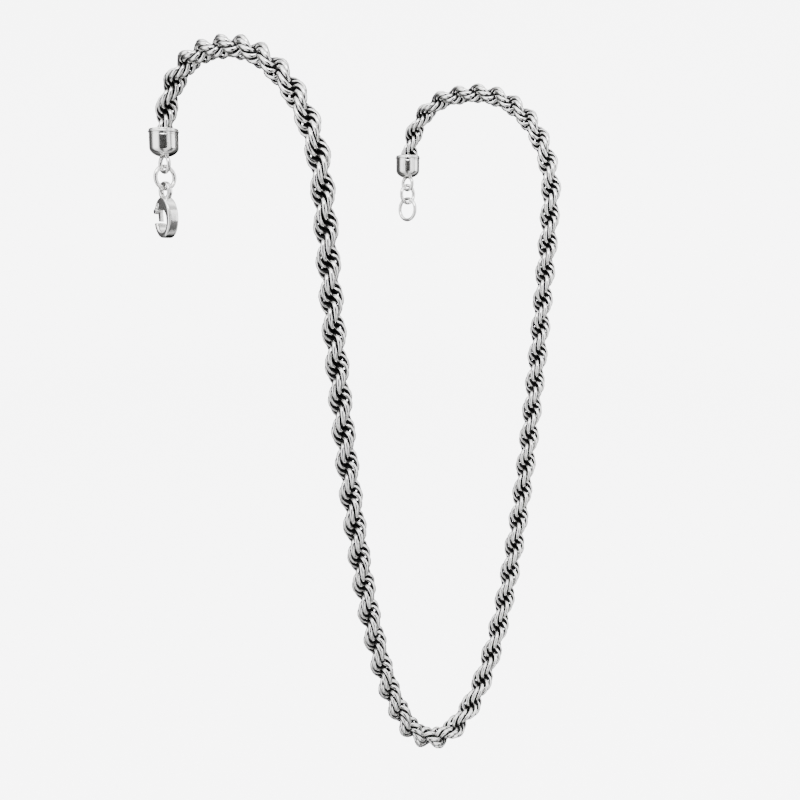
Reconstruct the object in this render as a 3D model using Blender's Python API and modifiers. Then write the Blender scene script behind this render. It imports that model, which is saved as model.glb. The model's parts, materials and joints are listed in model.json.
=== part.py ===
"""Rope chain necklace with end caps, jump rings, a catch ring and a lobster clasp.

It hangs as it does over a display block: the front falls in a catenary, each leg turns back over
the block's front edge, runs across its top and turns down behind it, with the clasp undone.
The origin is on top of the block, midway between the two top runs. +X is to the right, +Y runs to
the back, +Z is up. Sizes are in metres.
"""

import math

import bmesh
import bpy
from mathutils import Matrix, Vector

OBJECT_NAME = "chain_necklace"

# The rope: two strands of links twisted together, as wide across as its two strands side by side.
ROPE_DIAMETER = 0.0050
ROPE_WAIST = 0.0036
HALF_PITCH = 0.0067
SEGMENT_HALF_PITCHES = 1.5
SEGMENT_COUNT = 42
JOINT_GAP = 0.0003
# The domed end of a segment: (gaps from its end, share of the full section).
SEGMENT_DOME = ((0.5, 0.2), (1.5, 0.62), (2.8, 0.9), (4.4, 1.0))

# How it hangs.
LEG_SPREAD = 0.077
FRONT_DROP = 0.152
SHOULDER_RADIUS = 0.0295
TOP_RUN = 0.004
REAR_RADIUS = 0.017

# The soldered end caps: a sleeve over the rope's end, with an eye below it.
CAP_LENGTH = 0.0062
CAP_WALL = 0.0004
CAP_SOCKET_DEPTH = 0.0036
CAP_BEAD = 0.00018
FIT_CLEARANCE = 0.0003
EYE_HOLE_RADIUS = 0.0013
EYE_WIRE_RADIUS = 0.00045

# The rings. A jump ring is closed round, but not soldered, so its seam shows.
RING_WIRE_RADIUS = 0.00045
RING_SEAM = 0.00006
RING_SEAM_TURN = math.radians(70)
JUMP_RING_RADIUS = 0.0024
CATCH_RING_RADIUS = 0.0029

# The lobster clasp: a flat eye at its head, and a bow below with an opening and a mouth on one side.
CLASP_THICKNESS = 0.0026
CLASP_WIDTH = 0.0064
CLASP_LENGTH = 0.0125
CLASP_HEAD_RADIUS = 0.0022
CLASP_HEAD_THICKNESS = 0.0012
CLASP_WALL = 0.0013
MOUTH_LENGTH = 0.0029
CUT_MARGIN = 0.00045

# The clasp's lever, on a pin across the slot in the body, with a boss round the pin.
PIVOT_RADIUS = 0.0004
PIVOT_CLEARANCE = 0.0001
PIVOT_DROP = 0.0010
BOSS_RADIUS = 0.00088
BODY_UNDER_PIVOT = 0.0008
SLOT_WIDTH = 0.0014
SLOT_CLEARANCE = 0.00032
SLOT_RUN_OUT = 0.0010
LEVER_THICKNESS = 0.0008
LEVER_WIDTH = 0.0011
LEVER_INSET = 0.0004
LEVER_BEND = 0.0001
MOUTH_GAP = 0.0003
THUMB_DROP = 0.00116
THUMB_REACH = 0.0014
THUMB_RADIUS = 0.0006
STEM_ROOT = 0.0010
STEM_TIP = 0.0007
FACE_STEP = 0.000008

# The lever's spring, a wire bent down behind the boss.
SPRING_WIRE_RADIUS = 0.00014
SPRING_ROOM = 0.00048
SPRING_STAND_OFF = 0.000336
SPRING_TOP_GAP = 0.0003
SPRING_KNEE = 0.0002
SPRING_FOOT = 0.0006

SEGMENT_SIDES = 10
RING_SIDES = 24
WIRE_SIDES = 8

SILVER = ((0.80, 0.80, 0.79), 0.24)
DARK_SILVER = ((0.52, 0.52, 0.51), 0.32)
STEEL = ((0.62, 0.63, 0.64), 0.35)

ROPE_RADIUS = ROPE_DIAMETER / 2
SEGMENT_LENGTH = SEGMENT_HALF_PITCHES * HALF_PITCH
ROPE_LENGTH = SEGMENT_COUNT * SEGMENT_LENGTH


# ---------------------------------------------------------------- the scene and its collections


def clear_scene():
    for obj in list(bpy.data.objects):
        bpy.data.objects.remove(obj, do_unlink=True)


def new_collection(name):
    collection = bpy.data.collections.new(name)
    bpy.context.scene.collection.children.link(collection)
    return collection


def metal(name, finish):
    colour, roughness = finish
    material = bpy.data.materials.new(name)
    material.use_nodes = True
    shader = material.node_tree.nodes["Principled BSDF"]
    shader.inputs["Base Color"].default_value = (*colour, 1)
    shader.inputs["Metallic"].default_value = 1
    shader.inputs["Roughness"].default_value = roughness
    return material


def add_mesh_object(name, bm, collection, finish, matrix=None):
    """An object of this name from a bmesh, with its own material, placed by matrix."""
    mesh = bpy.data.meshes.new(name)
    bm.to_mesh(mesh)
    bm.free()
    obj = bpy.data.objects.new(name, mesh)
    if finish:
        mesh.materials.append(metal(name, finish))
    if matrix is not None:
        obj.matrix_world = matrix
    collection.objects.link(obj)
    mesh.shade_smooth()
    mesh.set_sharp_from_angle(angle=math.radians(40))
    return obj


def cut(target, cutter, operation="DIFFERENCE"):
    modifier = target.modifiers.new(cutter.name, "BOOLEAN")
    modifier.operation = operation
    modifier.object = cutter


def add_cutter(name, bm, matrix=None):
    cutter = add_mesh_object(name, bm, cutters, None, matrix)
    cutter.hide_render = True
    cutter.display_type = "WIRE"
    return cutter


# ---------------------------------------------------------------- the line that the rope follows


def bisect(function, low, high):
    """Where a rising function crosses zero between low and high."""
    for _ in range(60):
        middle = (low + high) / 2
        if function(middle) < 0:
            low = middle
        else:
            high = middle
    return (low + high) / 2


def arc_to_shoulder(sag):
    """Length of rope from the lowest point to the shoulder's bend, for a catenary of this sag."""

    def short_of_top(arc):
        slant = math.hypot(sag, arc)
        return slant - sag + SHOULDER_RADIUS * arc / slant - FRONT_DROP

    return bisect(short_of_top, 0, 4 * FRONT_DROP)


def solve_catenary():
    """(sag, arc) of the catenary whose legs end LEG_SPREAD apart after the shoulder's bend."""

    def past_spread(sag):
        arc = arc_to_shoulder(sag)
        return sag * math.asinh(arc / sag) + SHOULDER_RADIUS * sag / math.hypot(sag, arc) - LEG_SPREAD / 2

    sag = bisect(past_spread, 0.05 * LEG_SPREAD, 2 * LEG_SPREAD)
    return sag, arc_to_shoulder(sag)


SAG, FRONT_ARC = solve_catenary()
TO_ORIGIN = Vector((0, -SHOULDER_RADIUS - TOP_RUN / 2, ROPE_RADIUS - FRONT_DROP))


def turned(angle, axis, frame):
    rotation = Matrix.Rotation(angle, 3, axis)
    return [rotation @ direction for direction in frame]


def rope_frame(arc):
    """(point, along, across, out) of the rope at this length from its lowest point, + to the right.

    along points down the rope's length towards the right end. across and out are square to it, and
    don't turn about it, so a twist can be counted from them.
    """
    length = abs(arc)
    front = min(length, FRONT_ARC)
    slope = math.atan(front / SAG)
    point = Vector((SAG * math.asinh(front / SAG), 0, math.hypot(SAG, front) - SAG))
    along = Vector((math.cos(slope), 0, math.sin(slope)))
    out = Vector((0, 1, 0))
    across = out.cross(along)
    left = length - FRONT_ARC
    if left > 0:
        turn = min(left / SHOULDER_RADIUS, math.pi / 2)
        point += SHOULDER_RADIUS * (math.sin(turn) * along + (1 - math.cos(turn)) * out)
        along, across, out = turned(-turn, across, (along, across, out))
        left -= SHOULDER_RADIUS * math.pi / 2
    if left > 0:
        point += min(left, TOP_RUN) * along
        left -= TOP_RUN
    if left > 0:
        turn = min(left / REAR_RADIUS, math.pi / 2)
        point += REAR_RADIUS * Vector((0, math.sin(turn), math.cos(turn) - 1))
        along, across, out = turned(-turn, "X", (along, across, out))
        left -= REAR_RADIUS * math.pi / 2
    if left > 0:
        point += left * along
    if arc < 0:
        mirror = Matrix.Diagonal((-1, 1, 1))
        point, across, out = mirror @ point, mirror @ across, mirror @ out
        along = -(mirror @ along)
    return point + TO_ORIGIN, along, across, out


# ---------------------------------------------------------------- the rope's segments


def segment_stations():
    """(distance from the end of the segment's stretch, scale of the section) from one end to the other.

    The ends are domed, so that neighbours can turn on the joint between them.
    """
    near = [(JOINT_GAP * gaps, scale) for gaps, scale in SEGMENT_DOME]
    inner = 3
    first, last = near[-1][0], SEGMENT_LENGTH - near[-1][0]
    middle = [(first + (last - first) * step / inner, 1.0) for step in range(1, inner)]
    return near + middle + [(SEGMENT_LENGTH - gap, scale) for gap, scale in reversed(near)]


def add_segment(index):
    """One length of the twisted rope: an oval section that turns with the two strands."""
    start = index * SEGMENT_LENGTH - ROPE_LENGTH / 2
    centre = rope_frame(start)[0]
    bm = bmesh.new()
    rings = []
    for offset, scale in segment_stations():
        point, _, across, out = rope_frame(start + offset)
        twist = math.pi * (start + offset) / HALF_PITCH
        wide = math.cos(twist) * across + math.sin(twist) * out
        thin = math.cos(twist) * out - math.sin(twist) * across
        ring = []
        for side in range(SEGMENT_SIDES):
            angle = 2 * math.pi * side / SEGMENT_SIDES
            reach = wide * math.cos(angle) * ROPE_DIAMETER / 2 + thin * math.sin(angle) * ROPE_WAIST / 2
            ring.append(bm.verts.new(point + scale * reach - centre))
        rings.append(ring)
    for lower, upper in zip(rings, rings[1:]):
        for side in range(SEGMENT_SIDES):
            after = (side + 1) % SEGMENT_SIDES
            bm.faces.new((lower[side], lower[after], upper[after], upper[side]))
    bm.faces.new(reversed(rings[0]))
    bm.faces.new(rings[-1])
    finish = SILVER if index % 2 else DARK_SILVER
    # The segment's origin is on the joint at its start.
    return add_mesh_object(f"rope_{index + 1:02d}", bm, parts, finish, Matrix.Translation(centre))


# ---------------------------------------------------------------- tubes, rings and plates


def wire_ring(radius, wire_radius, gap=0):
    """A round wire bent into a ring about local X, open by gap at its top."""
    bm = bmesh.new()
    opening = gap / radius
    count = RING_SIDES if gap == 0 else RING_SIDES + 1
    loops = []
    for step in range(count):
        span = 2 * math.pi - opening
        angle = opening / 2 + span * step / (count if gap == 0 else count - 1)
        radial = Vector((0, math.sin(angle), math.cos(angle)))
        loop = []
        for side in range(WIRE_SIDES):
            turn = 2 * math.pi * side / WIRE_SIDES
            place = radial * (radius + wire_radius * math.cos(turn))
            loop.append(bm.verts.new(place + Vector((wire_radius * math.sin(turn), 0, 0))))
        loops.append(loop)
    pairs = list(zip(loops, loops[1:])) + ([(loops[-1], loops[0])] if gap == 0 else [])
    for here, there in pairs:
        for side in range(WIRE_SIDES):
            after = (side + 1) % WIRE_SIDES
            bm.faces.new((here[side], here[after], there[after], there[side]))
    if gap:
        bm.faces.new(reversed(loops[0]))
        bm.faces.new(loops[-1])
    return bm


def cylinder(radius, depth, place=(0, 0, 0), sides=24):
    """A cylinder along local X."""
    bm = bmesh.new()
    turn = Matrix.Translation(place) @ Matrix.Rotation(math.pi / 2, 4, "Y")
    bmesh.ops.create_cone(
        bm, cap_ends=True, segments=sides, radius1=radius, radius2=radius, depth=depth, matrix=turn
    )
    return bm


def turns_left(outline):
    """Whether a closed outline of (y, z) points runs counter-clockwise."""
    area = 0
    for (y, z), (next_y, next_z) in zip(outline, outline[1:] + outline[:1]):
        area += y * next_z - next_y * z
    return area > 0


def plate(outline, thickness):
    """A flat outline in local YZ, given thickness along X."""
    if not turns_left(outline):
        outline = outline[::-1]
    bm = bmesh.new()
    layers = [[bm.verts.new((x, y, z)) for y, z in outline] for x in (-thickness / 2, thickness / 2)]
    count = len(outline)
    for step in range(count):
        after = (step + 1) % count
        bm.faces.new((layers[0][step], layers[0][after], layers[1][after], layers[1][step]))
    bm.faces.new(reversed(layers[0]))
    bm.faces.new(layers[1])
    return bm


def oval(centre_z, half_width, half_height, sides, centre_y=0.0):
    turns = [2 * math.pi * step / sides for step in range(sides)]
    return [
        (centre_y + half_width * math.sin(turn), centre_z + half_height * math.cos(turn)) for turn in turns
    ]


# ---------------------------------------------------------------- the end caps


def turned_profile(name, profile, matrix):
    """A solid turned about local Z from (radius, height) points that run down its outer side."""
    mesh = bpy.data.meshes.new(name)
    points = [(radius, 0, height) for radius, height in profile]
    mesh.from_pydata(points, [(step, step + 1) for step in range(len(points) - 1)], [])
    mesh.materials.append(metal(name, SILVER))
    obj = bpy.data.objects.new(name, mesh)
    obj.matrix_world = matrix
    parts.objects.link(obj)
    screw = obj.modifiers.new("turned", "SCREW")
    screw.axis = "Z"
    screw.steps = screw.render_steps = RING_SIDES
    screw.use_merge_vertices = True
    screw.merge_threshold = 0.00001
    return obj


def cap_profile():
    """Down the outside from the sleeve's mouth to the end, then up the inside of the socket.

    Height 0 is the mouth, and the cap hangs down from it.
    """
    inner = ROPE_RADIUS + FIT_CLEARANCE
    outer = inner + CAP_WALL
    end = -CAP_LENGTH
    shoulder = -CAP_SOCKET_DEPTH - CAP_WALL
    dome_steps = 5
    profile = [(0, -CAP_SOCKET_DEPTH), (inner, -CAP_SOCKET_DEPTH), (inner, 0), (outer, 0)]
    profile += [(outer, -2 * CAP_BEAD), (outer + CAP_BEAD, -3 * CAP_BEAD), (outer + CAP_BEAD, -4 * CAP_BEAD)]
    profile += [(outer, -5 * CAP_BEAD)]
    for step in range(dome_steps):
        turn = step / dome_steps * math.pi / 2
        profile.append((outer * math.cos(turn), shoulder + (end - shoulder) * math.sin(turn)))
    profile.append((0, end))
    return profile


def hanging_frame(sign):
    """A matrix at the end of the rope: local -Z runs on along the rope, and local X is near world X."""
    point, along, _, _ = rope_frame(sign * ROPE_LENGTH / 2)
    down = along * sign
    side = Vector((1, 0, 0))
    depth = down.cross(side).normalized()
    side = depth.cross(down)
    turn = Matrix((side, -depth, -down)).transposed()
    return Matrix.Translation(point) @ turn.to_4x4()


def eye_centre():
    """Height of the eye's centre below the cap's mouth. Its wire is sunk into the cap's end."""
    return -CAP_LENGTH - EYE_HOLE_RADIUS


def add_cap(name, sign):
    end = hanging_frame(sign)
    mouth = end @ Matrix.Translation((0, 0, CAP_SOCKET_DEPTH - FIT_CLEARANCE))
    cap = turned_profile(name, cap_profile(), mouth)
    eye = add_cutter(
        name + "_eye",
        wire_ring(EYE_HOLE_RADIUS + EYE_WIRE_RADIUS, EYE_WIRE_RADIUS),
        mouth @ Matrix.Translation((0, 0, eye_centre())),
    )
    cut(cap, eye, "UNION")
    return mouth @ Matrix.Translation((0, 0, eye_centre()))


# ---------------------------------------------------------------- the rings and the clasp


def hang_drop(hole_radius):
    """How far below a hole's centre the centre of a ring's wire rests."""
    return hole_radius - RING_WIRE_RADIUS - FIT_CLEARANCE


def pivot_empty(name, matrix):
    """An empty on a joint's axis, which the pieces that swing there are parented to."""
    empty = bpy.data.objects.new(name, None)
    empty.matrix_world = matrix
    empty.empty_display_size = 0.003
    parts.objects.link(empty)
    return empty


def add_on_pivot(name, bm, finish, pivot, local):
    obj = add_mesh_object(name, bm, parts, finish)
    obj.parent = pivot
    obj.matrix_parent_inverse = Matrix.Identity(4)
    obj.matrix_local = local
    return obj


def quarter_turn():
    return Matrix.Rotation(math.pi / 2, 4, "Z")


def add_jump_ring(name, eye):
    """A ring that hangs in the cap's eye, square to it. Gives the ring's centre."""
    top = eye @ Matrix.Translation((0, 0, -hang_drop(EYE_HOLE_RADIUS)))
    pivot = pivot_empty(name + "_pivot", top)
    centre = Matrix.Translation((0, 0, -JUMP_RING_RADIUS))
    seam = Matrix.Rotation(RING_SEAM_TURN, 4, "X")
    add_on_pivot(
        name, wire_ring(JUMP_RING_RADIUS, RING_WIRE_RADIUS, RING_SEAM), SILVER, pivot,
        centre @ quarter_turn() @ seam,
    )
    return top @ centre


def add_catch_ring(name, jump_centre):
    """The larger ring that the clasp closes on. It hangs in the jump ring, square to it."""
    pivot = pivot_empty(name + "_pivot", jump_centre)
    drop = JUMP_RING_RADIUS - 2 * RING_WIRE_RADIUS - FIT_CLEARANCE + CATCH_RING_RADIUS
    add_on_pivot(
        name, wire_ring(CATCH_RING_RADIUS, RING_WIRE_RADIUS), SILVER, pivot,
        Matrix.Translation((0, 0, -drop)),
    )


def clasp_head_place():
    """Height of the clasp eye's centre under the jump ring's centre."""
    return -JUMP_RING_RADIUS - hang_drop(EYE_HOLE_RADIUS)


def lever_pivot():
    """(y, z) of the lever's pin, on the mouth's side under the head, from the eye's centre."""
    return CLASP_WIDTH / 2 - CLASP_WALL - PIVOT_RADIUS, -CLASP_HEAD_RADIUS - PIVOT_DROP


def add_clasp(jump_centre):
    pivot = pivot_empty("clasp_pivot", jump_centre)
    head = Matrix.Translation((0, 0, clasp_head_place()))
    bow_height = CLASP_LENGTH - CLASP_HEAD_RADIUS - EYE_HOLE_RADIUS
    bow_centre = CLASP_HEAD_RADIUS - CLASP_LENGTH + bow_height / 2
    pin_y, pin_z = lever_pivot()

    body = add_on_pivot(
        "clasp_body", plate(oval(bow_centre, CLASP_WIDTH / 2, bow_height / 2, 32), CLASP_THICKNESS),
        SILVER, pivot, head,
    )
    place = jump_centre @ head
    neck = add_cutter("clasp_head", cylinder(CLASP_HEAD_RADIUS, CLASP_HEAD_THICKNESS), place)
    cut(body, neck, "UNION")
    eye_hole = add_cutter("clasp_eye_hole", cylinder(EYE_HOLE_RADIUS, 2 * CLASP_THICKNESS), place)
    cut(body, eye_hole)
    # The bow's opening starts under the lever's pin, where the body stays solid.
    top = pin_z - BODY_UNDER_PIVOT
    bottom = CLASP_HEAD_RADIUS - CLASP_LENGTH + CLASP_WALL
    opening = oval((top + bottom) / 2, CLASP_WIDTH / 2 - CLASP_WALL, (top - bottom) / 2, 24)
    cut(body, add_cutter("clasp_opening", plate(opening, 2 * CLASP_THICKNESS), place))
    # The mouth: the bow's side is cut away where the lever closes it.
    mouth_low = top - MOUTH_LENGTH
    side_low, side_high = CLASP_WIDTH / 2 - CLASP_WALL - CUT_MARGIN, CLASP_WIDTH
    mouth = [(side_low, top), (side_high, top), (side_high, mouth_low), (side_low, mouth_low)]
    cut(body, add_cutter("clasp_mouth", plate(mouth, 2 * CLASP_THICKNESS), place))
    # The slot that the lever turns in, open to the outside and to the opening.
    slot_top = pin_z + BOSS_RADIUS + SLOT_CLEARANCE
    slot_back = pin_y - BOSS_RADIUS - SPRING_ROOM
    slot_end = top - SLOT_RUN_OUT
    slot = [(slot_back, slot_top), (side_high, slot_top), (side_high, top), (side_low, slot_end)]
    slot.append((slot_back, slot_end))
    cut(body, add_cutter("clasp_slot", plate(slot, SLOT_WIDTH), place))
    pin_place = place @ Matrix.Translation((0, pin_y, pin_z))
    pin_hole = cylinder(PIVOT_RADIUS + PIVOT_CLEARANCE, 2 * CLASP_THICKNESS, sides=16)
    cut(body, add_cutter("clasp_pin_hole", pin_hole, pin_place))
    add_on_pivot(
        "clasp_pin", cylinder(PIVOT_RADIUS, CLASP_THICKNESS, sides=12), STEEL, pivot,
        head @ Matrix.Translation((0, pin_y, pin_z)),
    )
    add_lever(place, pin_y, pin_z, mouth_low)
    add_spring(pivot, head, pin_z, slot_back, slot_top)


def add_lever(place, pin_y, pin_z, mouth_low):
    """The lever: a boss on the pin, an arm that shuts the mouth, and a thumb piece outside."""
    pivot = pivot_empty("lever_pivot", place @ Matrix.Translation((0, pin_y, pin_z)))
    tip = mouth_low - pin_z + MOUTH_GAP
    outer = CLASP_WIDTH / 2 - pin_y - LEVER_INSET
    inner = outer - LEVER_WIDTH
    arm = [(inner, 0), (outer, 0), (outer - LEVER_BEND, tip / 2), (outer - 3 * LEVER_BEND, tip)]
    arm += [(inner - LEVER_BEND, tip), (inner, tip / 2)]
    lever = add_on_pivot("lever", plate(arm, LEVER_THICKNESS), SILVER, pivot, Matrix.Identity(4))
    place = pivot.matrix_world
    boss = cylinder(BOSS_RADIUS, LEVER_THICKNESS + 2 * FACE_STEP, sides=16)
    cut(lever, add_cutter("lever_boss", boss, place), "UNION")
    root, end = outer - LEVER_INSET, outer + THUMB_REACH - THUMB_RADIUS
    stem = [(root, -THUMB_DROP - STEM_ROOT / 2), (root, -THUMB_DROP + STEM_ROOT / 2)]
    stem += [(end, -THUMB_DROP + STEM_TIP / 2), (end, -THUMB_DROP - STEM_TIP / 2)]
    stem_plate = plate(stem, LEVER_THICKNESS - 2 * FACE_STEP)
    cut(lever, add_cutter("lever_stem", stem_plate, place), "UNION")
    thumb = cylinder(THUMB_RADIUS, SLOT_WIDTH, (0, end, -THUMB_DROP), sides=16)
    cut(lever, add_cutter("lever_thumb", thumb, place), "UNION")
    hole = cylinder(PIVOT_RADIUS + PIVOT_CLEARANCE, 2 * CLASP_THICKNESS, sides=16)
    cut(lever, add_cutter("lever_pin_hole", hole, place))


def add_spring(pivot, head, pin_z, slot_back, slot_top):
    """The lever's spring: a short bent wire in the slot behind the boss."""
    curve = bpy.data.curves.new("lever_spring", "CURVE")
    curve.dimensions = "3D"
    curve.bevel_depth = SPRING_WIRE_RADIUS
    curve.bevel_resolution = 1
    curve.use_fill_caps = True
    back = slot_back + SPRING_STAND_OFF
    knee = pin_z - SPRING_KNEE
    points = [(0, back, slot_top - SPRING_TOP_GAP), (0, back, knee)]
    points.append((0, back + SPRING_KNEE, knee - SPRING_FOOT))
    spline = curve.splines.new("POLY")
    spline.points.add(len(points) - 1)
    for point, place in zip(spline.points, points):
        point.co = (*place, 1)
    curve.materials.append(metal("lever_spring", STEEL))
    obj = bpy.data.objects.new("lever_spring", curve)
    obj.parent = pivot
    obj.matrix_local = head
    parts.objects.link(obj)


def main():
    for index in range(SEGMENT_COUNT):
        add_segment(index)
    clasp_eye = add_cap("clasp_end_cap", -1)
    add_clasp(add_jump_ring("clasp_jump_ring", clasp_eye))
    catch_eye = add_cap("catch_end_cap", 1)
    add_catch_ring("catch_ring", add_jump_ring("catch_jump_ring", catch_eye))


clear_scene()
parts = new_collection(OBJECT_NAME)
cutters = new_collection("cutters")
cutters.hide_render = True
main()
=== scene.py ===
"""Looks of a twisted rope chain necklace with end caps, jump rings, a catch ring and a lobster clasp.

Laid out as an add-on and run as a script. Every visible piece is built round the fixed frame, whose
nodes and joints give all places. Sizes are in metres.
"""

import json
import math

import bmesh
import bpy
import numpy as np
from bpy.props import FloatProperty, FloatVectorProperty, IntProperty, PointerProperty
from bpy.types import Operator, Panel, PropertyGroup
from mathutils import Matrix, Vector

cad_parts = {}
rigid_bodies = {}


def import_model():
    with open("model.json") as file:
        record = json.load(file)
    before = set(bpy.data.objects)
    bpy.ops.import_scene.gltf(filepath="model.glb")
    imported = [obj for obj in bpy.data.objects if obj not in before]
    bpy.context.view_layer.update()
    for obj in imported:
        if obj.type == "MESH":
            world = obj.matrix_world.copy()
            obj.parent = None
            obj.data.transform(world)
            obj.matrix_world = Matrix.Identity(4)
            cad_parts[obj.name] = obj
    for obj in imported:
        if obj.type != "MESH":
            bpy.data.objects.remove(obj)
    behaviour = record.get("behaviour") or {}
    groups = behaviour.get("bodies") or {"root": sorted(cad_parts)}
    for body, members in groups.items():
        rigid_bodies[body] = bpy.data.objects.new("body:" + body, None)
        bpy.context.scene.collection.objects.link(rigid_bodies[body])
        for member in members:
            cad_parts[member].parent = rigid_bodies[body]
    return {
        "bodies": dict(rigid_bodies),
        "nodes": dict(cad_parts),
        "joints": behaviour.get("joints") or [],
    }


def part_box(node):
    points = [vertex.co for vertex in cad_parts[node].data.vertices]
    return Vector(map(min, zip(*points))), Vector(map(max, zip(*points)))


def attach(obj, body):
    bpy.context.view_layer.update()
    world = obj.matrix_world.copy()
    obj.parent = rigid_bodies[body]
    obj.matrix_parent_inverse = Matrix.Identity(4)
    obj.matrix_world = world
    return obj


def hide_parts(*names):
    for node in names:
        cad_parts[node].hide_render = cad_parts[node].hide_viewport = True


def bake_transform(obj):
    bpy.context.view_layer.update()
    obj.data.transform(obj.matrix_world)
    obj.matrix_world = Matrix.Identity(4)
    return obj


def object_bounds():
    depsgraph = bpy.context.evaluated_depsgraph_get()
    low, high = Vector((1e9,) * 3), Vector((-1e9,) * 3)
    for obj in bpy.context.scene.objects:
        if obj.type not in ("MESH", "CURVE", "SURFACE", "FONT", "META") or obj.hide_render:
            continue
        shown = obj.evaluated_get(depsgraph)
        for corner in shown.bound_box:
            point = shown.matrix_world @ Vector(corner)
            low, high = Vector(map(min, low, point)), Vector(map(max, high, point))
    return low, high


bl_info = {
    "name": "Rope Chain Necklace",
    "version": (1, 0, 0),
    "blender": (4, 5, 0),
    "location": "View3D > Sidebar > Necklace",
    "description": "Builds a twisted rope chain with its end caps, rings and lobster clasp",
    "category": "Add Mesh",
}

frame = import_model()
FRAME_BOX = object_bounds()

ROPE_BODIES = sorted(name for name in frame["bodies"] if name.startswith("rope_"))
ROPE_BENDS = [joint for joint in frame["joints"] if joint["name"].startswith("rope_bend")]
MM = 0.001

LINK_SEED = 7

# Finishes. Noise scales are in cells per metre, and a ramp is (low, high) of the value that it reads.
CLOUD_SCALE = 900.0
TARNISH_SCALE = 240.0
STAIN_SCALE = 1400.0
SCRATCH_SCALES = (9000.0, 9000.0, 2600.0)
DRAWN_LINE_SCALES = (16000.0, 16000.0, 1500.0)
RAGGED_EDGE = 0.09
MOST_TARNISH = 0.22
TARNISHED_SILVER = (0.52, 0.51, 0.49, 1)
HEAT_TINT = (0.40, 0.37, 0.33, 1)
POLISHED_ROUGHNESS = 0.17
# How much rougher the blackened parts are. These parts are partly real patina and partly painted shade.
SHADE_AND_PATINA_ROUGHER_BY = 0.3
# Ramps of raised from black to bright silver. The black is partly real patina and partly painted shade.
ROPE_SHADE_AND_PATINA_RAMP = (0.25, 0.75)
CAST_SHADE_AND_PATINA_RAMP = (0.12, 0.42)
# The rope's links darken towards the rope's middle and on their wire's inner side: painted shade between the
# links, with some real patina.
OUTWARD_RAMP = (0.05, 0.42)
OUTER_SIDE_RAMP = (-0.7, 0.8)

# How raised mark_hollows calls a flat, how much it makes of a rise, and the tone that it gives.
FLAT_RAISED = 0.55
RISE_GAIN = 0.6
EVEN_TONE = 0.8

# Rounds of smoothing, and the size of the cells for that of the clasp's body.
CAP_ROUNDING = 3
LEVER_ROUNDING = 8
SPRING_ROUNDING = 4
LEVER_GRAIN = 0.6
SPRING_GRAIN = 0.35
DOME_STEPS = 18

# The studio: panels in a full turn, where they start, and (name, place, width, height, watts) of each lamp.
PANELS_ROUND = 4.0
PANELS_START = 0.9
LAMPS = (
    ("key", (-0.5, -0.45, 0.5), 0.35, 0.35, 6),
    ("fill", (0.5, -0.5, 0.1), 0.4, 0.5, 2),
)


def size(label, default, note):
    return FloatProperty(name=label, description=note, default=default, min=0, unit="LENGTH", precision=5)


def tint(label, default, note):
    return FloatVectorProperty(
        name=label, description=note, default=default, min=0, max=1, size=3, subtype="COLOR"
    )


# ---------------------------------------------------------------- settings


class RopeSettings(PropertyGroup):
    rope_radius: size("Rope radius", 0.0025, "From the rope's middle to the outside of its links")
    half_turn: size("Half turn", 0.0067, "Length of rope in which the two strands change places")
    links_per_half_turn: FloatProperty(
        name="Links per half turn", description="How many links lie in a half turn", default=11.4, min=4
    )
    wire_radius: size("Wire radius", 0.00041, "Half the thickness of the links' flattened wire")
    wire_width: FloatProperty(
        name="Wire width", description="Width of the flattened wire for its thickness", default=1.2, min=1
    )
    off_middle: size("Off the middle", 0.00050, "How far a link's centre lies from the rope's middle")
    link_length: FloatProperty(
        name="Link length", description="Length of a link for its width", default=1.2, min=1
    )
    opening: FloatProperty(
        name="Opening", description="Angle that a link is open by",
        default=math.radians(30), subtype="ANGLE",
    )
    wander: FloatProperty(
        name="Wander", description="Most that a link leans by chance",
        default=math.radians(2), subtype="ANGLE",
    )
    end_margin: size("End margin", 0.0021, "From the end of the rope to the middle of its last link")
    steps_round: IntProperty(name="Steps round", description="Steps round a link", default=14, min=6)
    wire_sides: IntProperty(name="Wire sides", description="Sides of a link's wire", default=6, min=4)


class CapSettings(PropertyGroup):
    wall: size("Wall", 0.0004, "Thickness of the sleeve's wall")
    socket_depth: size("Socket depth", 0.0036, "How deep the rope's socket is")
    rope_in: size("Rope in", 0.0033, "How far the rope reaches into the socket")
    bead: size("Bead", 0.00018, "Height of the bead round the mouth")
    eye_hole: size("Eye hole", 0.0013, "Radius of the hole in the eye")
    eye_wire: size("Eye wire", 0.00045, "Radius of the eye's wire")


class ClaspSettings(PropertyGroup):
    grain: size("Grain", 0.00008, "Size of the cells that the cast forms are rounded with")
    rounding: IntProperty(name="Rounding", description="Rounds of smoothing of the body", default=110, min=0)
    seam: size("Seam", 0.00006, "Gap of the seam in a jump ring")


class FinishSettings(PropertyGroup):
    silver: tint("Silver", (0.90, 0.895, 0.885), "Colour of the polished silver")
    # Near-black colour, partly real patina and partly painted shade in the recesses and between the links.
    shade_and_patina_colour: tint("Patina", (0.012, 0.012, 0.013), "Colour of the blackening in the recesses")
    steel: tint("Steel", (0.60, 0.61, 0.62), "Colour of the pin and the spring")


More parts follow.
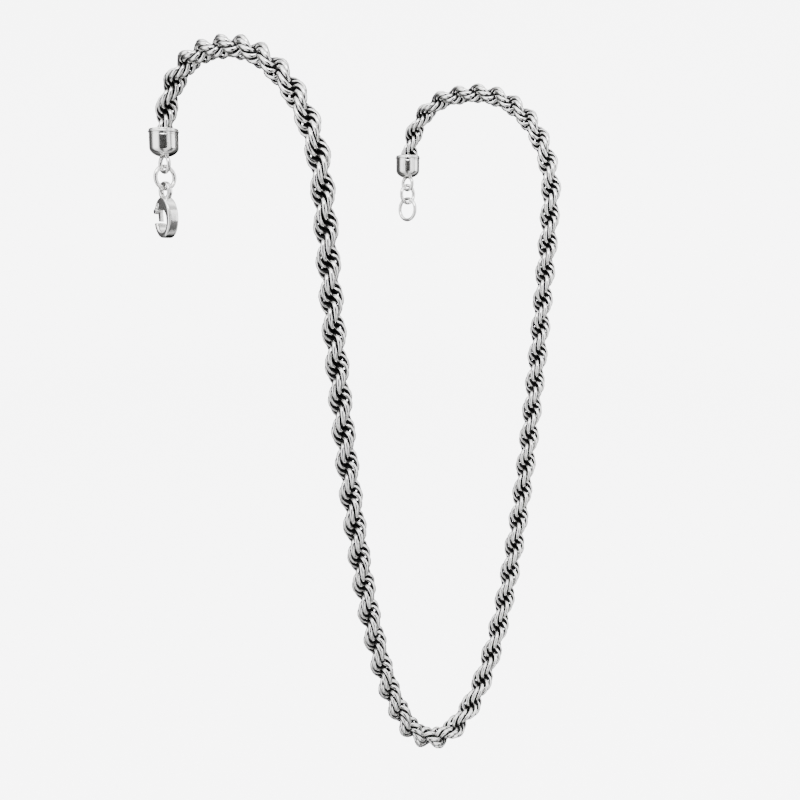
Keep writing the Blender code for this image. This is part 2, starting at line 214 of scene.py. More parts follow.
class StageSettings(PropertyGroup):
    camera_place: FloatVectorProperty(
        name="Camera place", description="Where the camera stands", default=(-0.155, -0.1695, -0.0386),
        subtype="TRANSLATION", unit="LENGTH",
    )
    yaw: FloatProperty(
        name="Yaw", description="Camera's heading, from the back towards the right",
        default=math.radians(45.37), subtype="ANGLE",
    )
    pitch: FloatProperty(
        name="Pitch", description="How far the camera looks down",
        default=math.radians(8.73), subtype="ANGLE",
    )
    roll: FloatProperty(
        name="Roll", description="Turn of the camera about its view",
        default=math.radians(0.31), subtype="ANGLE",
    )
    lens: FloatProperty(name="Lens", description="Focal length", default=42.75, min=10, unit="CAMERA")
    brightness: FloatProperty(
        name="Brightness", description="Strength of the side panels", default=3.4, min=0
    )
    dark_share: FloatProperty(
        name="Dark share", description="Light from behind as a share of the side panels' light",
        default=0.05, min=0,
    )
    gap_share: FloatProperty(
        name="Gap share", description="Light between the side panels as a share of a panel's light",
        default=0.06, min=0,
    )
    floor_glow: FloatProperty(name="Floor glow", description="Light that the paper gives", default=6, min=0)
    card_width: size("Card width", 0.28, "Width of the black card round the lens")
    card_height: size("Card height", 0.30, "Height of the black card round the lens")
    card_back: size("Card back", 0.01, "How far the card stands behind the lens")
    floor_drop: size("Floor drop", 0.045, "How far the floor lies under the lowest link")
    floor_tone: tint("Floor", (0.86, 0.86, 0.865), "Colour of the floor and the backdrop")


class NecklaceSettings(PropertyGroup):
    rope: PointerProperty(type=RopeSettings)
    caps: PointerProperty(type=CapSettings)
    clasp: PointerProperty(type=ClaspSettings)
    finish: PointerProperty(type=FinishSettings)
    stage: PointerProperty(type=StageSettings)


def settings():
    return bpy.context.scene.necklace


# ---------------------------------------------------------------- node trees


class Tree:
    """A node tree with short calls to add nodes and join them."""

    def __init__(self, tree):
        self.tree = tree

    def add(self, kind, inputs=(), **properties):
        """Adds a node. An input is (socket name or number, value or output socket)."""
        node = self.tree.nodes.new(kind)
        for name, value in properties.items():
            setattr(node, name, value)
        for key, value in inputs:
            if isinstance(value, bpy.types.NodeSocket):
                self.tree.links.new(value, node.inputs[key])
            else:
                node.inputs[key].default_value = value
        return node

    def math(self, operation, *values):
        kind = "ShaderNodeMath"
        return self.add(kind, enumerate(values), operation=operation).outputs[0]


# ---------------------------------------------------------------- finishes


def metal_tree(name, tone, roughness):
    """(material, tree, shader) of a metal with a constant finish, ready for its detail."""
    material = bpy.data.materials.new(name)
    material.use_nodes = True
    tree = Tree(material.node_tree)
    shader = material.node_tree.nodes["Principled BSDF"]
    shader.inputs["Metallic"].default_value = 1
    shader.inputs["Roughness"].default_value = roughness
    shader.inputs["Base Color"].default_value = (*tone, 1)
    return material, tree, shader


def noise(tree, place, scale, detail=3.0, roughness=0.55):
    inputs = (("Vector", place), ("Scale", scale), ("Detail", detail), ("Roughness", roughness))
    return tree.add("ShaderNodeTexNoise", inputs).outputs["Fac"]


def spread(tree, value, low, high, to_low=0.0, to_high=1.0, smooth=True):
    """value taken from low..high to to_low..to_high, and held there beyond."""
    inputs = ((0, value), (1, low), (2, high), (3, to_low), (4, to_high))
    kind = "SMOOTHSTEP" if smooth else "LINEAR"
    return tree.add("ShaderNodeMapRange", inputs, interpolation_type=kind).outputs[0]


def scratches(tree, place, scales):
    """Fine scratches, longest along the axis whose scale is smallest."""
    mapping = tree.add("ShaderNodeMapping", (("Vector", place), ("Scale", scales)))
    return noise(tree, mapping.outputs[0], 1.0, 4.0, 0.7)


def shaded_and_blackened_silver(name, low, high):
    """Polished silver, black where the attribute raised is under low and bright where it is over high; the
    black is partly real patina and partly painted shade in the hollows and between the links.
    """
    finish = settings().finish
    material, tree, shader = metal_tree(name, finish.silver, 0.2)
    place = tree.add("ShaderNodeTexCoord").outputs["Object"]
    raised = tree.add("ShaderNodeAttribute", attribute_name="raised").outputs["Fac"]
    clouds = noise(tree, place, CLOUD_SCALE)
    ragged = tree.math("ADD", raised, spread(tree, clouds, 0.3, 0.7, -RAGGED_EDGE, RAGGED_EDGE, False))
    clear_of_shade_and_patina = spread(tree, ragged, low, high)
    tarnish = spread(tree, noise(tree, place, TARNISH_SCALE, 2.0), 0.35, 0.75, 0.0, MOST_TARNISH)
    tone = tree.add("ShaderNodeAttribute", attribute_name="tone").outputs["Fac"]
    bright = tree.math("SUBTRACT", 1.0, tree.math("MULTIPLY", tarnish, tone))
    top = tree.add(
        "ShaderNodeMix", ((0, bright), (6, TARNISHED_SILVER), (7, (*finish.silver, 1))), data_type="RGBA"
    ).outputs[2]
    # Painted shade with real patina: near black where raised is low, in the hollows and between the links.
    colour = tree.add(
        "ShaderNodeMix", ((0, clear_of_shade_and_patina), (6, (*finish.shade_and_patina_colour, 1)), (7, top)), data_type="RGBA"
    ).outputs[2]
    fine = scratches(tree, place, SCRATCH_SCALES)
    wear = spread(tree, fine, 0.35, 0.75, -0.04, 0.09, False)
    shade_and_patina_share = tree.math("SUBTRACT", 1.0, clear_of_shade_and_patina)
    base = tree.math("MULTIPLY_ADD", shade_and_patina_share, SHADE_AND_PATINA_ROUGHER_BY, POLISHED_ROUGHNESS)
    roughness = tree.math("ADD", base, wear)
    grain = tree.math("ADD", fine, tree.math("MULTIPLY", clouds, 1.5))
    bump = tree.add("ShaderNodeBump", (("Strength", 0.25), ("Distance", 0.00002), ("Height", grain)))
    links = tree.tree.links
    links.new(colour, shader.inputs["Base Color"])
    links.new(roughness, shader.inputs["Roughness"])
    links.new(bump.outputs[0], shader.inputs["Normal"])
    return material


def satin_steel():
    """Drawn spring steel, with fine lines along the wire and a slight heat tint."""
    finish = settings().finish
    material, tree, shader = metal_tree("satin_steel", finish.steel, 0.34)
    place = tree.add("ShaderNodeTexCoord").outputs["Object"]
    lines = scratches(tree, place, DRAWN_LINE_SCALES)
    stain = noise(tree, place, STAIN_SCALE)
    colour = tree.add(
        "ShaderNodeMix",
        ((0, spread(tree, stain, 0.4, 0.7)), (6, (*finish.steel, 1)), (7, HEAT_TINT)),
        data_type="RGBA",
    ).outputs[2]
    bump = tree.add("ShaderNodeBump", (("Strength", 0.3), ("Distance", 0.00001), ("Height", lines)))
    tree.tree.links.new(colour, shader.inputs["Base Color"])
    tree.tree.links.new(spread(tree, lines, 0.3, 0.7, 0.26, 0.46, False), shader.inputs["Roughness"])
    tree.tree.links.new(bump.outputs[0], shader.inputs["Normal"])
    return material


def finish_named(name):
    """The finish of this name, made the first time that it is asked for."""
    if name in bpy.data.materials:
        return bpy.data.materials[name]
    if name == "rope_silver":
        return shaded_and_blackened_silver(name, *ROPE_SHADE_AND_PATINA_RAMP)
    if name == "cast_silver":
        return shaded_and_blackened_silver(name, *CAST_SHADE_AND_PATINA_RAMP)
    return satin_steel()


# ---------------------------------------------------------------- pieces


def add_piece(name, mesh, finish):
    obj = bpy.data.objects.new(name, mesh)
    bpy.context.scene.collection.objects.link(obj)
    mesh.materials.clear()
    mesh.materials.append(finish_named(finish))
    mesh.shade_smooth()
    return obj


def evaluated_mesh(obj):
    """A plain mesh of what the object's modifiers make. The object itself is removed."""
    graph = bpy.context.evaluated_depsgraph_get()
    made = obj.evaluated_get(graph)
    mesh = bpy.data.meshes.new_from_object(made, preserve_all_data_layers=True, depsgraph=graph)
    bpy.data.objects.remove(obj, do_unlink=True)
    return mesh


def fit_out(piece, body, node):
    """Makes a finished piece ride on its body and stand for its node, whose part is hidden."""
    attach(piece, body)
    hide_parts(node)


def mark_hollows(mesh, reach):
    """Stores how raised each point is, from 0 in a hollow to 1 on a sharp edge, and an even tone. The finish
    blackens the low points, partly as real patina and partly as painted shade in the hollows.
    """
    count = len(mesh.vertices)
    places = np.empty(count * 3)
    mesh.vertices.foreach_get("co", places)
    places = places.reshape(-1, 3)
    normals = np.empty(count * 3)
    mesh.vertex_normals.foreach_get("vector", normals)
    normals = normals.reshape(-1, 3)
    ends = np.empty(len(mesh.edges) * 2, np.int32)
    mesh.edges.foreach_get("vertices", ends)
    ends = ends.reshape(-1, 2)
    near = np.bincount(ends.ravel(), minlength=count).clip(1)[:, None]

    def neighbours_mean(values):
        total = np.zeros_like(values)
        np.add.at(total, ends[:, 0], values[ends[:, 1]])
        np.add.at(total, ends[:, 1], values[ends[:, 0]])
        return total / near

    smooth = places
    for _ in range(reach):
        smooth = neighbours_mean(smooth)
    step = np.linalg.norm(places[ends[:, 0]] - places[ends[:, 1]], axis=1).mean()
    rise = ((places - smooth) * normals).sum(axis=1) / step
    raised = np.clip(FLAT_RAISED + rise * RISE_GAIN, 0, 1)
    mesh.attributes.new("raised", "FLOAT", "POINT").data.foreach_set("value", raised.astype(np.float32))
    tones = np.full(count, EVEN_TONE, np.float32)
    mesh.attributes.new("tone", "FLOAT", "POINT").data.foreach_set("value", tones)


# ---------------------------------------------------------------- the rope of links


def socket_floor(cap):
    """Where the rope ends, on the cap's axis inside its socket."""
    low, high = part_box(cap)
    middle = (low + high) / 2
    return Vector((middle.x, middle.y, high.z - settings().caps.rope_in))


def add_guide():
    """A smooth curve along the rope's middle, through its bends and from socket to socket."""
    bends = [Vector(joint["pos_m"]) for joint in ROPE_BENDS]
    points = [socket_floor("clasp_end_cap"), *bends, socket_floor("catch_end_cap")]
    curve = bpy.data.curves.new("rope_guide", "CURVE")
    curve.dimensions = "3D"
    curve.resolution_u = 24
    spline = curve.splines.new("BEZIER")
    spline.bezier_points.add(len(points) - 1)
    for knot, point in zip(spline.bezier_points, points):
        knot.co = point
    for knot in spline.bezier_points:
        knot.handle_left_type = "AUTO"
        knot.handle_right_type = "AUTO"
    guide = bpy.data.objects.new("rope_guide", curve)
    bpy.context.scene.collection.objects.link(guide)
    return guide


def link_inputs():
    """The inputs of the links' node tree: name, socket type."""
    return (
        ("Guide", "NodeSocketObject"),
        ("First Link", "NodeSocketInt"),
        ("Link Count", "NodeSocketInt"),
        ("Start", "NodeSocketFloat"),
        ("Pitch", "NodeSocketFloat"),
        ("Turn", "NodeSocketFloat"),
        ("Rope Radius", "NodeSocketFloat"),
        ("Ring Radius", "NodeSocketFloat"),
        ("Wire Radius", "NodeSocketFloat"),
        ("Wire Width", "NodeSocketFloat"),
        ("Off Middle", "NodeSocketFloat"),
        ("Link Length", "NodeSocketFloat"),
        ("Opening", "NodeSocketFloat"),
        ("Wander", "NodeSocketFloat"),
        ("Steps Round", "NodeSocketInt"),
        ("Wire Sides", "NodeSocketInt"),
        ("Seed", "NodeSocketInt"),
        ("Finish", "NodeSocketMaterial"),
    )


def vector_of(tree, x=0.0, y=0.0, z=0.0):
    return tree.add("ShaderNodeCombineXYZ", ((0, x), (1, y), (2, z))).outputs[0]


def link_mesh(tree, given):
    """One open link in the plane of the rope's axis (local Z), its opening towards the axis.

    Its attribute raised is 1 on the outer side of the wire where the link faces out of the rope, and falls
    towards the rope's middle and the wire's inner side, which the finish blackens as partly real patina and
    partly painted shade.
    """
    sweep = tree.math("SUBTRACT", 2 * math.pi, given["Opening"])
    start = tree.math("MULTIPLY_ADD", given["Opening"], 0.5, math.pi)
    arc = tree.add("GeometryNodeCurveArc", mode="RADIUS")
    for name, value in (
        ("Resolution", given["Steps Round"]),
        ("Radius", given["Ring Radius"]),
        ("Start Angle", start),
        ("Sweep Angle", sweep),
    ):
        tree.tree.links.new(value, arc.inputs[name])
    wire = tree.add("GeometryNodeCurvePrimitiveCircle", mode="RADIUS")
    tree.tree.links.new(given["Wire Sides"], wire.inputs["Resolution"])
    tree.tree.links.new(given["Wire Radius"], wire.inputs["Radius"])
    tube = tree.add(
        "GeometryNodeCurveToMesh",
        (("Curve", arc.outputs[0]), ("Profile Curve", wire.outputs[0]), ("Fill Caps", True)),
    )
    upright = tree.add(
        "GeometryNodeTransform",
        (
            ("Geometry", tube.outputs[0]),
            ("Translation", vector_of(tree, given["Off Middle"])),
            ("Rotation", (math.pi / 2, 0, 0)),
            ("Scale", vector_of(tree, 1.0, given["Link Length"], given["Wire Width"])),
        ),
    )
    position = tree.add("GeometryNodeInputPosition").outputs[0]
    parts = tree.add("ShaderNodeSeparateXYZ", ((0, position),)).outputs
    # Painted shade with real patina: darker towards the rope's middle and on the wire's inner side, where
    # the links shade each other.
    outward = spread(tree, tree.math("DIVIDE", parts[0], given["Rope Radius"]), *OUTWARD_RAMP)
    across = tree.math("SUBTRACT", parts[0], given["Off Middle"])
    along = tree.math("DIVIDE", parts[2], given["Link Length"])
    squares = tree.math("ADD", tree.math("MULTIPLY", across, across), tree.math("MULTIPLY", along, along))
    from_centre = tree.math("POWER", squares, 0.5)
    off_wire = tree.math("SUBTRACT", from_centre, given["Ring Radius"])
    outer_side = spread(tree, tree.math("DIVIDE", off_wire, given["Wire Radius"]), *OUTER_SIDE_RAMP)
    raised = tree.math("MULTIPLY", outward, outer_side)
    return tree.add(
        "GeometryNodeStoreNamedAttribute",
        (("Geometry", upright.outputs[0]), ("Name", "raised"), ("Value", raised)),
        data_type="FLOAT", domain="POINT",
    ).outputs[0]


def links_tree():
    """Links set one after the other along the guide, each turned a half turn and a little on."""
    group = bpy.data.node_groups.new("rope_links", "GeometryNodeTree")
    tree = Tree(group)
    for name, kind in link_inputs():
        group.interface.new_socket(name, in_out="INPUT", socket_type=kind)
    group.interface.new_socket("Geometry", in_out="OUTPUT", socket_type="NodeSocketGeometry")
    given = tree.add("NodeGroupInput").outputs
    number = tree.math("ADD", tree.add("GeometryNodeInputIndex").outputs[0], given["First Link"])
    length = tree.math("MULTIPLY_ADD", number, given["Pitch"], given["Start"])
    guide = tree.add("GeometryNodeObjectInfo", (("Object", given["Guide"]),)).outputs["Geometry"]
    sample = tree.add("GeometryNodeSampleCurve", mode="LENGTH", use_all_curves=True)
    tree.tree.links.new(guide, sample.inputs["Curves"])
    tree.tree.links.new(length, sample.inputs["Length"])
    axes = tree.add(
        "FunctionNodeAxesToRotation",
        ((0, sample.outputs["Tangent"]), (1, sample.outputs["Normal"])),
        primary_axis="Z", secondary_axis="X",
    )
    chance = tree.add(
        "FunctionNodeRandomValue",
        (("ID", number), ("Seed", given["Seed"])),
        data_type="FLOAT_VECTOR",
    )
    chance.inputs[0].default_value = (-1, -1, -1)
    lean = tree.add(
        "ShaderNodeVectorMath", ((0, chance.outputs[0]), ("Scale", given["Wander"])), operation="SCALE"
    ).outputs[0]
    leans = tree.add("ShaderNodeSeparateXYZ", ((0, lean),)).outputs
    turn = tree.math("MULTIPLY_ADD", number, given["Turn"], leans[2])
    spun = tree.add("FunctionNodeEulerToRotation", (("Euler", vector_of(tree, z=turn)),))
    tilted = tree.add("FunctionNodeEulerToRotation", (("Euler", vector_of(tree, leans[0], leans[1])),))
    first = tree.add(
        "FunctionNodeRotateRotation", ((0, axes.outputs[0]), (1, spun.outputs[0])), rotation_space="LOCAL"
    )
    second = tree.add(
        "FunctionNodeRotateRotation", ((0, first.outputs[0]), (1, tilted.outputs[0])), rotation_space="LOCAL"
    )
    points = tree.add("GeometryNodePoints", (("Count", given["Link Count"]),))
    tree.tree.links.new(sample.outputs["Position"], points.inputs["Position"])
    link = link_mesh(tree, given)
    copies = tree.add(
        "GeometryNodeInstanceOnPoints",
        (("Points", points.outputs[0]), ("Instance", link), ("Rotation", second.outputs[0])),
    )
    tone = tree.add(
        "FunctionNodeRandomValue", (("ID", number), ("Seed", given["Seed"])), data_type="FLOAT"
    )
    toned = tree.add(
        "GeometryNodeStoreNamedAttribute",
        (("Geometry", copies.outputs[0]), ("Name", "tone"), ("Value", tone.outputs[1])),
        data_type="FLOAT", domain="INSTANCE",
    )
    real = tree.add("GeometryNodeRealizeInstances", (("Geometry", toned.outputs[0]),))
    finished = tree.add(
        "GeometryNodeSetMaterial", (("Geometry", real.outputs[0]), ("Material", given["Finish"]))
    )
    tree.add("NodeGroupOutput", (("Geometry", finished.outputs[0]),))
    return group


def grow(group, values):
    """A plain mesh made by a node tree from these named inputs."""
    host = bpy.data.objects.new("host", bpy.data.meshes.new("host"))
    bpy.context.scene.collection.objects.link(host)
    modifier = host.modifiers.new("grow", "NODES")
    modifier.node_group = group
    for socket in group.interface.items_tree:
        if socket.in_out == "INPUT":
            modifier[socket.identifier] = values[socket.name]
    return evaluated_mesh(host)


def share_of_links(count, start, pitch, stretch):
    """(first link, number of links) nearest to each bend, and the first and last for the rope's ends."""
    nearest = [round((start + link * pitch) / stretch) for link in range(count)]
    return [(nearest.index(bend), nearest.count(bend)) for bend in range(max(nearest) + 1)]


class NECKLACE_OT_rope(Operator):
    """Build the rope: two twisted strands of interlinked open rings, from one cap to the other"""

    bl_idname = "necklace.rope"
    bl_label = "Rope of links"

    def execute(self, context):
        rope = settings().rope
        guide = add_guide()
        context.view_layer.update()
        length = guide.data.splines[0].calc_length()
        run = length - 2 * rope.end_margin
        pitch = rope.half_turn / rope.links_per_half_turn
        count = round(run / pitch) + 1
        pitch = run / (count - 1)
        values = {
            "Guide": guide,
            "Start": rope.end_margin,
            "Pitch": pitch,
            "Turn": math.pi + math.pi / rope.links_per_half_turn,
            "Rope Radius": rope.rope_radius,
            "Ring Radius": rope.rope_radius - rope.off_middle - rope.wire_radius,
            "Wire Radius": rope.wire_radius,
            "Wire Width": rope.wire_width,
            "Off Middle": rope.off_middle,
            "Link Length": rope.link_length,
            "Opening": rope.opening,
            "Wander": rope.wander,
            "Steps Round": rope.steps_round + 1,
            "Wire Sides": rope.wire_sides,
            "Seed": LINK_SEED,
            "Finish": finish_named("rope_silver"),
        }
        group = links_tree()
        shares = share_of_links(count, rope.end_margin, pitch, length / len(ROPE_BODIES))
        for bend, (first, links) in enumerate(shares):
            mesh = grow(group, {**values, "First Link": first, "Link Count": links})
            piece = add_piece(f"rope_links_{bend:02d}", mesh, "rope_silver")
            self.hang(piece, bend)
        bpy.data.objects.remove(guide, do_unlink=True)
        return {"FINISHED"}

    def hang(self, piece, bend):
        """The rope's two end pieces ride on the end bodies, and the pieces between stay where they are laid.
        """
        if bend == 0:
            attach(piece, ROPE_BODIES[0])
        elif bend == len(ROPE_BODIES):
            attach(piece, ROPE_BODIES[-1])
        else:
            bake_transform(piece)
        if bend < len(ROPE_BODIES):
            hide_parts(ROPE_BODIES[bend])


# ---------------------------------------------------------------- caps, rings and clasp


def torus(bm, centre, axis, radius, wire_radius, seam=0.0, steps=72, sides=20):
    """A round wire bent into a ring about axis, "X" or "Y". With a seam, it is open by that much."""
    opening = seam / radius
    loops = []
    for step in range(steps + (seam > 0)):
        turn = opening / 2 + (2 * math.pi - opening) * step / steps
        side_way = Vector((0, 1, 0)) if axis == "X" else Vector((1, 0, 0))
        out = math.sin(turn) * side_way - math.cos(turn) * Vector((0, 0, 1))
        through = Vector((1, 0, 0)) if axis == "X" else Vector((0, 1, 0))
        loop = []
        for side in range(sides):
            angle = 2 * math.pi * side / sides
            place = out * (radius + wire_radius * math.cos(angle)) + through * wire_radius * math.sin(angle)
            loop.append(bm.verts.new(centre + place))
        loops.append(loop)
    pairs = list(zip(loops, loops[1:]))
    if seam:
        bm.faces.new(loops[0])
        bm.faces.new(reversed(loops[-1]))
    else:
        pairs.append((loops[-1], loops[0]))
    for here, there in pairs:
        for side in range(sides):
            after = (side + 1) % sides
            bm.faces.new((here[side], there[side], there[after], here[after]))
    bmesh.ops.recalc_face_normals(bm, faces=bm.faces)


def mesh_of(bm, name):
    mesh = bpy.data.meshes.new(name)
    bm.to_mesh(mesh)
    bm.free()
    return mesh


def turned_solid(bm, profile, centre, axis, steps=72):
    """Turns (radius, height) points about axis, "X" or "Z", through centre."""
    loops = []
    for radius, height in profile:
        if radius == 0:
            loops.append([bm.verts.new((0, 0, height))] * steps)
            continue
        turns = [2 * math.pi * step / steps for step in range(steps)]
        loops.append([bm.verts.new((radius * math.cos(t), radius * math.sin(t), height)) for t in turns])
    for upper, lower in zip(loops, loops[1:]):
        for step in range(steps):
            after = (step + 1) % steps
            corners = dict.fromkeys((upper[step], lower[step], lower[after], upper[after]))
            bm.faces.new(corners)
    turn = Matrix.Rotation(math.pi / 2, 4, "Y") if axis == "X" else Matrix.Identity(4)
    bmesh.ops.transform(bm, matrix=Matrix.Translation(centre) @ turn, verts=bm.verts)
    bmesh.ops.recalc_face_normals(bm, faces=bm.faces)


def tumbled(mesh, name, grain, rounds):
    """The mesh as one cast form: its pieces grown together and its edges rounded over by smoothing.

    The modifier takes no cell this small, so the work is done a thousand times up.
    """
    mesh.transform(Matrix.Scale(1 / MM, 4))
    obj = bpy.data.objects.new(name, mesh)
    bpy.context.scene.collection.objects.link(obj)
    remesh = obj.modifiers.new("cells", "REMESH")
    remesh.mode = "VOXEL"
    remesh.voxel_size = grain / MM
    smooth = obj.modifiers.new("tumble", "SMOOTH")
    smooth.factor = 0.5
    smooth.iterations = rounds
    result = evaluated_mesh(obj)
    result.transform(Matrix.Scale(MM, 4))
    return result


def merged_copy(node):
    """A copy of a frame node's mesh with its loose triangles joined up."""
    bm = bmesh.new()
    bm.from_mesh(frame["nodes"][node].data)
    bmesh.ops.remove_doubles(bm, verts=bm.verts, dist=0.000002)
    return mesh_of(bm, node)


def arc_points(centre, radius, first, last, steps):
    """Points of an arc as (radius, height), with angles counted from straight out, upwards."""
    turns = [first + (last - first) * step / steps for step in range(steps + 1)]
    return [(centre[0] + radius * math.cos(turn), centre[1] + radius * math.sin(turn)) for turn in turns]


def cap_profile(outer, caps, end):
    """The cap's section from the socket's floor, over the rolled mouth and down the outside."""
    inner = outer - caps.wall
    lip = caps.wall / 2
    half = math.pi / 2
    floor = -caps.socket_depth
    rise = end + caps.socket_depth + caps.wall
    profile = [(0, floor), (inner - lip, floor)]
    profile += arc_points((inner - lip, floor + lip), lip, -half, 0, 5)
    profile += arc_points((inner + lip, -lip), lip, math.pi, 0, 10)
    profile += arc_points((outer, -lip - 2.5 * caps.bead), caps.bead, half, -half, 10)
    groove = (outer, -2 * lip - 5.0 * caps.bead)
    profile += arc_points(groove, caps.bead / 2, math.pi - half, math.pi + half, 6)
    for step in range(1, DOME_STEPS + 1):
        turn = step / DOME_STEPS * half
        radius = outer * math.cos(turn) if step < DOME_STEPS else 0
        profile.append((radius, floor - caps.wall + rise * math.sin(turn)))
    return profile


class NECKLACE_OT_end_caps(Operator):
    """Build the two end caps: a turned sleeve with a rolled mouth and an eye soldered to its end"""

    bl_idname = "necklace.end_caps"
    bl_label = "End caps"

    def execute(self, context):
        caps = settings().caps
        clasp = settings().clasp
        for node, body in (("clasp_end_cap", ROPE_BODIES[0]), ("catch_end_cap", ROPE_BODIES[-1])):
            low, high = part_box(node)
            middle = (low + high) / 2
            outer = (high.x - low.x) / 2 - caps.bead
            eye_z = low.z + caps.eye_hole + 2 * caps.eye_wire
            end = eye_z + caps.eye_hole + caps.eye_wire * 0.3 - high.z
            bm = bmesh.new()
            turned_solid(bm, cap_profile(outer, caps, end), Vector((middle.x, middle.y, high.z)), "Z")
            torus(bm, Vector((middle.x, middle.y, eye_z)), "X", caps.eye_hole + caps.eye_wire, caps.eye_wire)
            mesh = tumbled(mesh_of(bm, node), node, clasp.grain, CAP_ROUNDING)
            mark_hollows(mesh, 6)
            piece = add_piece(node + "_turned", mesh, "cast_silver")
            fit_out(piece, body, node)
        return {"FINISHED"}


class NECKLACE_OT_rings(Operator):
    """Build the two jump rings, each with its seam, and the catch ring"""

    bl_idname = "necklace.rings"
    bl_label = "Rings"

    def execute(self, context):
        for node, seam in (("clasp_jump_ring", True), ("catch_jump_ring", True), ("catch_ring", False)):
            low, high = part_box(node)
            spans = high - low
            axis = "X" if spans.x < spans.y else "Y"
            wire_radius = min(spans.x, spans.y) / 2
            radius = spans.z / 2 - wire_radius
            bm = bmesh.new()
            torus(bm, (low + high) / 2, axis, radius, wire_radius, settings().clasp.seam if seam else 0)
            mesh = mesh_of(bm, node)
            mark_hollows(mesh, 2)
            piece = add_piece(node + "_wire", mesh, "cast_silver")
            fit_out(piece, node, node)
        return {"FINISHED"}


class NECKLACE_OT_clasp(Operator):
    """Build the clasp's cast body and the pin that its lever turns on"""

    bl_idname = "necklace.clasp"
    bl_label = "Clasp body and pin"

    def execute(self, context):
        clasp = settings().clasp
        mesh = tumbled(merged_copy("clasp_body"), "clasp_body", clasp.grain, clasp.rounding)
        mark_hollows(mesh, 8)
        body = add_piece("clasp_body_cast", mesh, "cast_silver")
        fit_out(body, "clasp", "clasp_body")
        low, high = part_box("clasp_pin")
        radius = (high.z - low.z) / 2
        half = (high.x - low.x) / 2
        dome = radius * 0.3
        profile = [(0, half)]
        profile += [(radius * share, half - dome * share * share) for share in (0.3, 0.6, 0.85, 1.0)]
        profile += [(r, -h) for r, h in reversed(profile)]
        bm = bmesh.new()
        turned_solid(bm, profile, (low + high) / 2, "X", steps=32)
        pin = add_piece("clasp_pin_drawn", mesh_of(bm, "clasp_pin"), "satin_steel")
        fit_out(pin, "clasp", "clasp_pin")
        return {"FINISHED"}


class NECKLACE_OT_lever(Operator):
    """Build the clasp's lever with its thumb piece, and the spring that closes it"""

    bl_idname = "necklace.lever"
    bl_label = "Lever and spring"

    def execute(self, context):
        clasp = settings().clasp
        mesh = tumbled(merged_copy("lever"), "lever", clasp.grain * LEVER_GRAIN, LEVER_ROUNDING)
        mark_hollows(mesh, 6)
        lever = add_piece("lever_cast", mesh, "cast_silver")
        fit_out(lever, "lever", "lever")
        cells = clasp.grain * SPRING_GRAIN
        wire = tumbled(merged_copy("lever_spring"), "lever_spring", cells, SPRING_ROUNDING)
        spring = add_piece("lever_spring_wire", wire, "satin_steel")
        fit_out(spring, "clasp", "lever_spring")
        return {"FINISHED"}


# ---------------------------------------------------------------- the stage


def stage_finish(tone, glow):
    material = bpy.data.materials.new("stage_paper")
    material.use_nodes = True
    shader = material.node_tree.nodes["Principled BSDF"]
    shader.inputs["Base Color"].default_value = (*tone, 1)
    shader.inputs["Roughness"].default_value = 0.9
    shader.inputs["Specular IOR Level"].default_value = 0.1
    shader.inputs["Emission Color"].default_value = (*tone, 1)
    shader.inputs["Emission Strength"].default_value = glow
    return material


def add_floor(stage):
    """A round paper floor that sweeps up into a backdrop on every side. Only the camera sees it."""
    top = FRAME_BOX[0].z - stage.floor_drop
    flat, sweep, wall = 1.0, 0.7, 1.6
    profile = [(0, top), (flat, top)]
    profile += arc_points((flat, top + sweep), sweep, -math.pi / 2, 0, 16)[1:]
    profile.append((flat + sweep, top + sweep + wall))
    bm = bmesh.new()
    turned_solid(bm, profile, Vector((0, 0, 0)), "Z", steps=96)
    bmesh.ops.reverse_faces(bm, faces=bm.faces)
    mesh = mesh_of(bm, "floor")
    mesh.materials.append(stage_finish(stage.floor_tone, stage.floor_glow))
    mesh.shade_smooth()
    floor = bpy.data.objects.new("floor", mesh)
    bpy.context.scene.collection.objects.link(floor)
    floor.visible_glossy = False
    floor.visible_diffuse = False
    floor.visible_shadow = False


def add_light(name, place, target, width, height, power):
    data = bpy.data.lights.new(name, "AREA")
    data.shape = "RECTANGLE"
    data.size = width
    data.size_y = height
    data.energy = power
    light = bpy.data.objects.new(name, data)
    light.location = place
    light.rotation_euler = (target - Vector(place)).to_track_quat("-Z", "Y").to_euler()
    bpy.context.scene.collection.objects.link(light)


def add_world(stage):
    """A studio round the necklace: bright panels at the sides and overhead, dark behind it and below."""
    world = bpy.data.worlds.new("studio")
    world.use_nodes = True
    bpy.context.scene.world = world
    tree = Tree(world.node_tree)
    direction = tree.add("ShaderNodeTexCoord").outputs["Generated"]
    parts = tree.add("ShaderNodeSeparateXYZ", ((0, direction),)).outputs
    sideways = tree.math("MULTIPLY", parts[0], math.sin(stage.yaw))
    behind = tree.math("MULTIPLY_ADD", parts[1], math.cos(stage.yaw), sideways)
    sides = spread(tree, behind, 0.0, 0.5, 1.0, stage.dark_share)
    heading = tree.math("ARCTAN2", parts[0], parts[1])
    panels = tree.math("SINE", tree.math("MULTIPLY_ADD", heading, PANELS_ROUND, PANELS_START))
    walls = tree.math("MULTIPLY", sides, spread(tree, panels, -0.7, 0.3, stage.gap_share, 1.0))
    rise = spread(tree, parts[2], 0.3, 0.8, 0.0, 0.4)
    fall = spread(tree, parts[2], -0.9, -0.1, 0.4, 1.0)
    shape = tree.math("MULTIPLY", tree.math("ADD", walls, rise), fall)
    background = world.node_tree.nodes["Background"]
    world.node_tree.links.new(tree.math("MULTIPLY", shape, stage.brightness), background.inputs["Strength"])
    background.inputs["Color"].default_value = (1, 1, 1, 1)


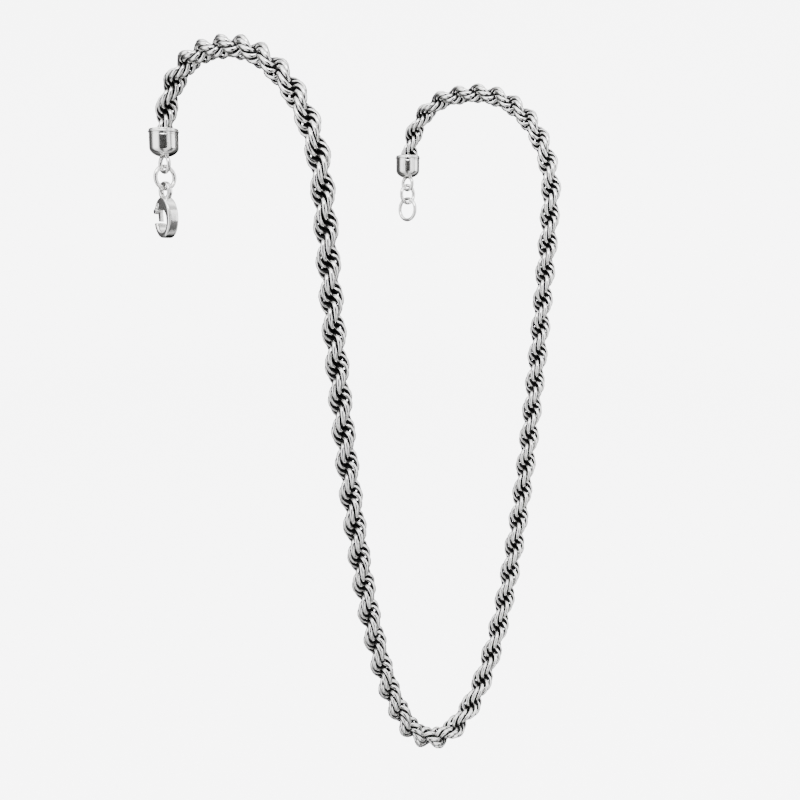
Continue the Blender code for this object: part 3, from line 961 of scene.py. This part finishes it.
def add_card(stage, camera):
    """A black card round the lens. It gives polished metal the dark line down its middle."""
    bm = bmesh.new()
    bmesh.ops.create_grid(bm, size=0.5)
    mesh = mesh_of(bm, "card")
    spans = (stage.card_width, stage.card_height, 1, 1)
    back = Matrix.Translation((0, 0, stage.card_back))
    mesh.transform(camera.matrix_world @ back @ Matrix.Diagonal(spans))
    material = bpy.data.materials.new("black_card")
    material.use_nodes = True
    shader = material.node_tree.nodes["Principled BSDF"]
    shader.inputs["Base Color"].default_value = (0.005, 0.005, 0.005, 1)
    shader.inputs["Roughness"].default_value = 1
    shader.inputs["Specular IOR Level"].default_value = 0
    mesh.materials.append(material)
    card = bpy.data.objects.new("card", mesh)
    bpy.context.scene.collection.objects.link(card)
    card.visible_camera = False
    card.visible_diffuse = False
    card.visible_shadow = False


def add_camera(stage):
    data = bpy.data.cameras.new("camera")
    data.lens = stage.lens
    data.sensor_width = 36
    data.clip_start = 0.005
    camera = bpy.data.objects.new("camera", data)
    heading = Matrix.Rotation(-stage.yaw, 4, "Z")
    dip = Matrix.Rotation(math.pi / 2 - stage.pitch, 4, "X")
    roll = Matrix.Rotation(stage.roll, 4, "Z")
    camera.matrix_world = Matrix.Translation(stage.camera_place) @ heading @ dip @ roll
    bpy.context.scene.collection.objects.link(camera)
    bpy.context.scene.camera = camera
    return camera


class NECKLACE_OT_stage(Operator):
    """Set up the floor, the studio light and the camera"""

    bl_idname = "necklace.stage"
    bl_label = "Stage"

    def execute(self, context):
        stage = settings().stage
        middle = (FRAME_BOX[0] + FRAME_BOX[1]) / 2
        camera = add_camera(stage)
        add_card(stage, camera)
        add_floor(stage)
        for name, place, width, height, watts in LAMPS:
            add_light(name, place, middle, width, height, watts)
        add_world(stage)
        return {"FINISHED"}


# ---------------------------------------------------------------- the add-on


class VIEW3D_PT_necklace(Panel):
    """The necklace's pieces, in the order that they are built"""

    bl_label = "Rope Chain Necklace"
    bl_space_type = "VIEW_3D"
    bl_region_type = "UI"
    bl_category = "Necklace"

    def draw(self, context):
        for operator in OPERATORS:
            self.layout.operator(operator.bl_idname)
        for group in ("rope", "caps", "clasp", "finish", "stage"):
            values = getattr(context.scene.necklace, group)
            box = self.layout.box()
            box.label(text=group.title())
            for name in values.bl_rna.properties.keys():
                if name not in ("rna_type", "name"):
                    box.prop(values, name)


OPERATORS = (
    NECKLACE_OT_stage,
    NECKLACE_OT_rope,
    NECKLACE_OT_end_caps,
    NECKLACE_OT_rings,
    NECKLACE_OT_clasp,
    NECKLACE_OT_lever,
)
CLASSES = (
    RopeSettings, CapSettings, ClaspSettings, FinishSettings, StageSettings, NecklaceSettings,
    *OPERATORS, VIEW3D_PT_necklace,
)


def register():
    for cls in CLASSES:
        bpy.utils.register_class(cls)
    bpy.types.Scene.necklace = PointerProperty(type=NecklaceSettings)


def unregister():
    del bpy.types.Scene.necklace
    for cls in reversed(CLASSES):
        bpy.utils.unregister_class(cls)


def main():
    register()
    bpy.ops.necklace.stage()
    bpy.ops.necklace.rope()
    bpy.ops.necklace.end_caps()
    bpy.ops.necklace.rings()
    bpy.ops.necklace.clasp()
    bpy.ops.necklace.lever()


if __name__ == "__main__":
    main()
